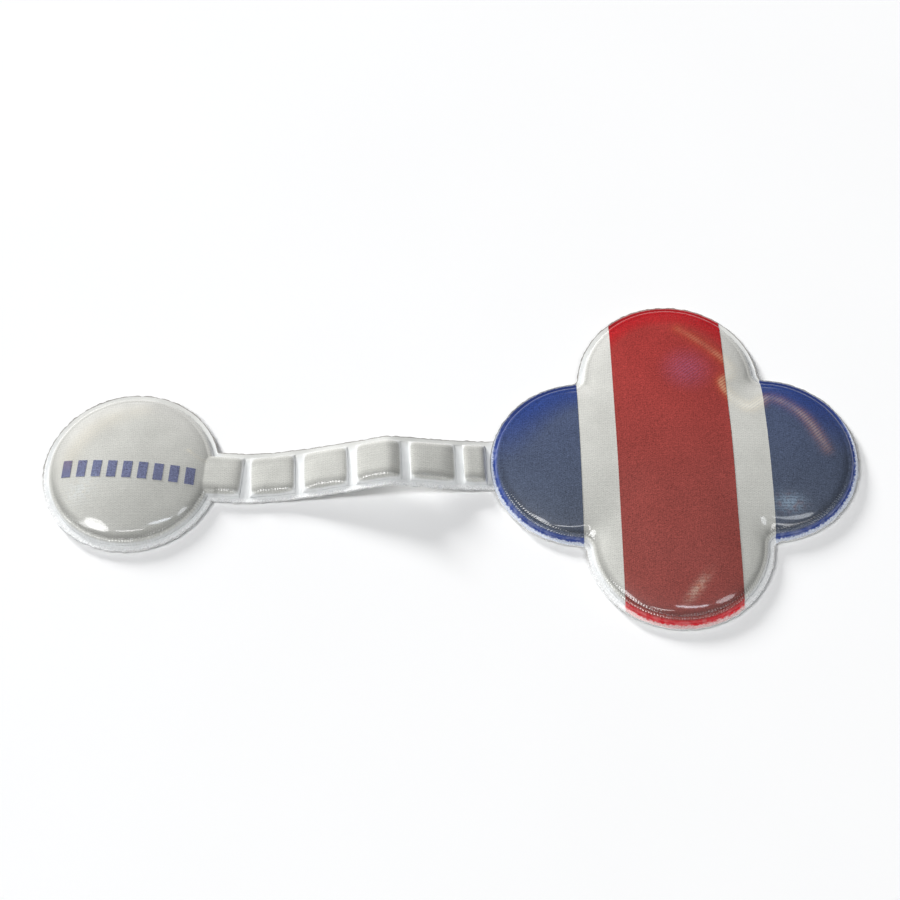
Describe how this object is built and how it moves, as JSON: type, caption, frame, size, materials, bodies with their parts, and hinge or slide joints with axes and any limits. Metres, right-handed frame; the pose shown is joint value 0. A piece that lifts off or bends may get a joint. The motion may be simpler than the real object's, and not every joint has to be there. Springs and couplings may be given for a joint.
{
  "type": "magnetic reflector",
  "caption": "Soft prismatic reflector tag: a quatrefoil head and a round head on a welded cell strap, each head with a disc magnet inside, so that it folds over a garment edge and holds.",
  "frame": {"origin": "middle of the big head on its back panel, which is the face that it lies on", "axes": "+X from the small head towards the big head, along the longest extent; +Z out of the printed front, away from what it lies on"},
  "size_m": [0.1787, 0.0802, 0.0076],
  "materials": {
    "front_film": "glossy, milky silver, fine prismatic hatch",
    "back_film": "soft gloss, milky white",
    "magnet": "nickel plated",
    "red_print": "translucent ink under gloss",
    "blue_print": "translucent ink under gloss"
  },
  "bodies": {
    "root": {"front_film": "front_film", "back_film": "back_film", "big_magnet": "magnet", "small_magnet": "magnet", "red_print": "red_print", "blue_print": "blue_print"}
  },
  "joints": []
}
